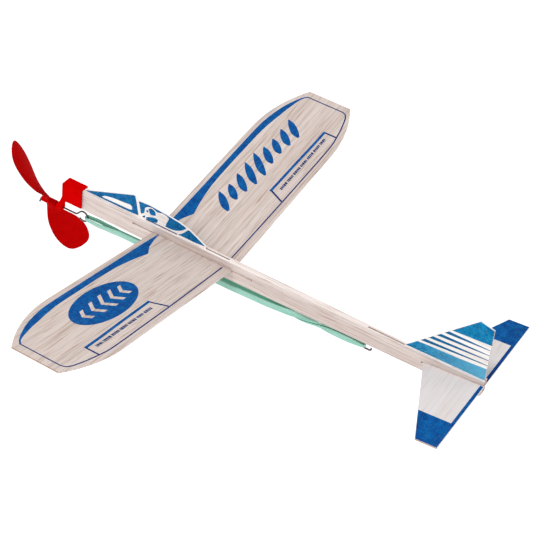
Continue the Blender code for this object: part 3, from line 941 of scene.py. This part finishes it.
def pilot():
    """A plain helmet with a visor over a pair of shoulders, nobody's in particular."""
    dome = metres(
        (58.6, 7.6), (57.4, 8.5), (56.2, 8.7), (55.0, 8.3), (54.2, 7.5), (53.9, 6.4),
        (54.1, 5.5), (55.3, 4.9), (57.0, 4.7), (57.7, 5.6))
    visor = metres((59.4, 5.0), (59.9, 6.3), (58.8, 6.7), (58.3, 5.6))
    shoulders = metres(
        (59.7, 1.7), (57.5, 2.9), (55.4, 3.6), (53.1, 3.9), (52.2, 3.2), (52.9, 1.2),
        (54.8, 0.8), (57.0, 0.8), (59.2, 0.8))
    sill = metres((62.0, 1.2), (60.3, 2.6), (60.2, 1.1), (61.3, 0.8))
    return [smooth_path(dome + dome[:1], 4)[:-1], visor, shoulders, sill]


def aft_glass():
    """The pointed pane at the canopy's rear end."""
    return metres(
        (33.9, 6.2), (33.0, 6.45), (26.6, 3.25), (22.9, 1.2), (25.5, 0.9), (29.7, 0.5),
        (34.3, 0.6), (37.6, 0.5), (39.6, 0.45), (37.5, 2.0), (35.6, 4.0))


def print_canopy():
    sill_line = line_outline(metres((59.5, 0.42), (50.0, 0.4), (40.2, 0.42)), SILL_WIDTH)
    for place, word in panel_faces():
        ink(f"canopy_nose_{word}", nose_wedge(), place, SIDE_INK, "fuselage")
        ink(f"canopy_glass_{word}", cockpit_glass(), place, SIDE_INK, "fuselage")
        ink(f"canopy_aft_glass_{word}", [aft_glass()], place, SIDE_INK, "fuselage")
        ink(f"canopy_pilot_{word}", pilot(), place, SIDE_INK, "fuselage")
        ink(f"canopy_sill_line_{word}", [sill_line], place, SIDE_LINE_INK, "fuselage")


# the fin's edges as they are printed on, in millimetres; a slope is the rise for each millimetre along X
FIN_LEAD_FOOT = -93.22
FIN_LEAD_SLOPE = 1.0117
FIN_TRAIL_FOOT = (-136.37, 0.6)
FIN_TRAIL_SLOPE = 23


def fin_lead(z):
    """A point on the fin's leading edge, in millimetres."""
    return (FIN_LEAD_FOOT - z / FIN_LEAD_SLOPE, z)


def fin_trail(z):
    """A point on the fin's trailing edge, in millimetres."""
    foot_x, foot_z = FIN_TRAIL_FOOT
    return (foot_x + (z - foot_z) / FIN_TRAIL_SLOPE, z)


def fin_stripes():
    """Four stripes that taper towards the tail; sizes in millimetres."""
    width, half_end = 2.0, 0.18
    loops = []
    for number in range(4):
        lead = 7.6 + 3.65 * number
        trail = 11.3 + 3.1 * number
        loops.append(metres(
            fin_lead(lead), fin_lead(lead + width), fin_trail(trail + half_end), fin_trail(trail - half_end)))
    return loops


def print_fin():
    low_band = metres(
        fin_lead(0.7), fin_lead(6.1), (-105.3, 6.7), (-120.3, 7.5), fin_trail(9.0), fin_trail(1.85))
    tip = metres(fin_lead(22.0), (-127.4, 34.57), (-134.98, 32.78), fin_trail(23.7))
    for place, word in panel_faces():
        ink(f"fin_low_band_{word}", [low_band], place, BAND_INK, "fuselage")
        ink(f"fin_stripes_{word}", fin_stripes(), place, STRIPE_INK, "fuselage")
        ink(f"fin_tip_{word}", [tip], place, FIN_INK, "fuselage")


def print_stabilizer():
    """Blue tips and a dark strip along the trailing edge, on the top face only."""
    origin = (STAB_LOW[0] + SHEET * math.sin(STAB_TILT), 0, STAB_HIGH[2])
    place = basis(origin, (math.cos(STAB_TILT), 0, -math.sin(STAB_TILT)), (0, 1, 0))
    tip = [metres((0.12, 33.3), (18.93, 33.3), (11.15, 51.58), (0.12, 51.58))]
    strip = [metres((0.12, 2.0), (1.8, 2.0), (1.8, 33.4), (0.12, 33.4))]
    ink("stabilizer_tip_left", tip, place, SPAN_INK, "fuselage")
    ink("stabilizer_strip_left", strip, place, SPAN_INK, "fuselage")
    ink("stabilizer_tip_right", mirrored(tip), place, SPAN_INK, "fuselage")
    ink("stabilizer_strip_right", mirrored(strip), place, STRIP_INK, "fuselage")


# ---------------------------------------------------------------- camera, light and floor

def look(forward, up):
    """Rotation of a camera that looks forward with this way up."""
    back = -Vector(forward).normalized()
    right = Vector(up).cross(back).normalized()
    return Matrix((right, back.cross(right), back)).transposed().to_4x4()


def add_camera():
    data = bpy.data.cameras.new("camera")
    data.sensor_width = SENSOR_WIDTH
    data.lens = LENS
    data.clip_start = 0.01
    camera = bpy.data.objects.new("camera", data)
    camera.matrix_world = Matrix.Translation(CAMERA_PLACE) @ look(CAMERA_FORWARD, CAMERA_UP)
    bpy.context.scene.collection.objects.link(camera)
    bpy.context.scene.camera = camera


def area_light(name, place, target, size, power):
    data = bpy.data.lights.new(name, "AREA")
    data.shape = "DISK"
    data.size = size
    data.energy = power
    light = bpy.data.objects.new(name, data)
    forward = Vector(target) - Vector(place)
    light.matrix_world = Matrix.Translation(place) @ look(forward, (0.1, 0.2, 1.0))
    bpy.context.scene.collection.objects.link(light)


def add_floor():
    mesh = bpy.data.meshes.new("floor")
    shape = bmesh.new()
    bmesh.ops.create_grid(shape, x_segments=1, y_segments=1, size=FLOOR_SIZE)
    shape.to_mesh(mesh)
    shape.free()
    floor = bpy.data.objects.new("floor", mesh)
    floor.location = (0, 0, CAD_BOUNDS[0][2] - FLOOR_DROP)
    bpy.context.scene.collection.objects.link(floor)
    finish = Shader("white_floor", 0.9, 0.2)
    finish.surface.inputs["Base Color"].default_value = FLOOR_GREY
    finish.surface.inputs["Emission Color"].default_value = WHITE
    finish.surface.inputs["Emission Strength"].default_value = FLOOR_GLOW
    mesh.materials.append(finish.material)


def add_world():
    world = bpy.data.worlds.new("studio")
    world.use_nodes = True
    sky = world.node_tree.nodes["Background"]
    sky.inputs["Color"].default_value = WHITE
    sky.inputs["Strength"].default_value = WORLD_STRENGTH
    bpy.context.scene.world = world
    bpy.context.scene.view_settings.view_transform = "Standard"


def build():
    add_camera()
    add_world()
    add_floor()
    for settings in LIGHTS:
        area_light(*settings)
    dress_cad_pieces()
    make_propeller()
    make_shaft()
    make_hook()
    make_band()
    print_wing()
    print_canopy()
    print_fin()
    print_stabilizer()


build()
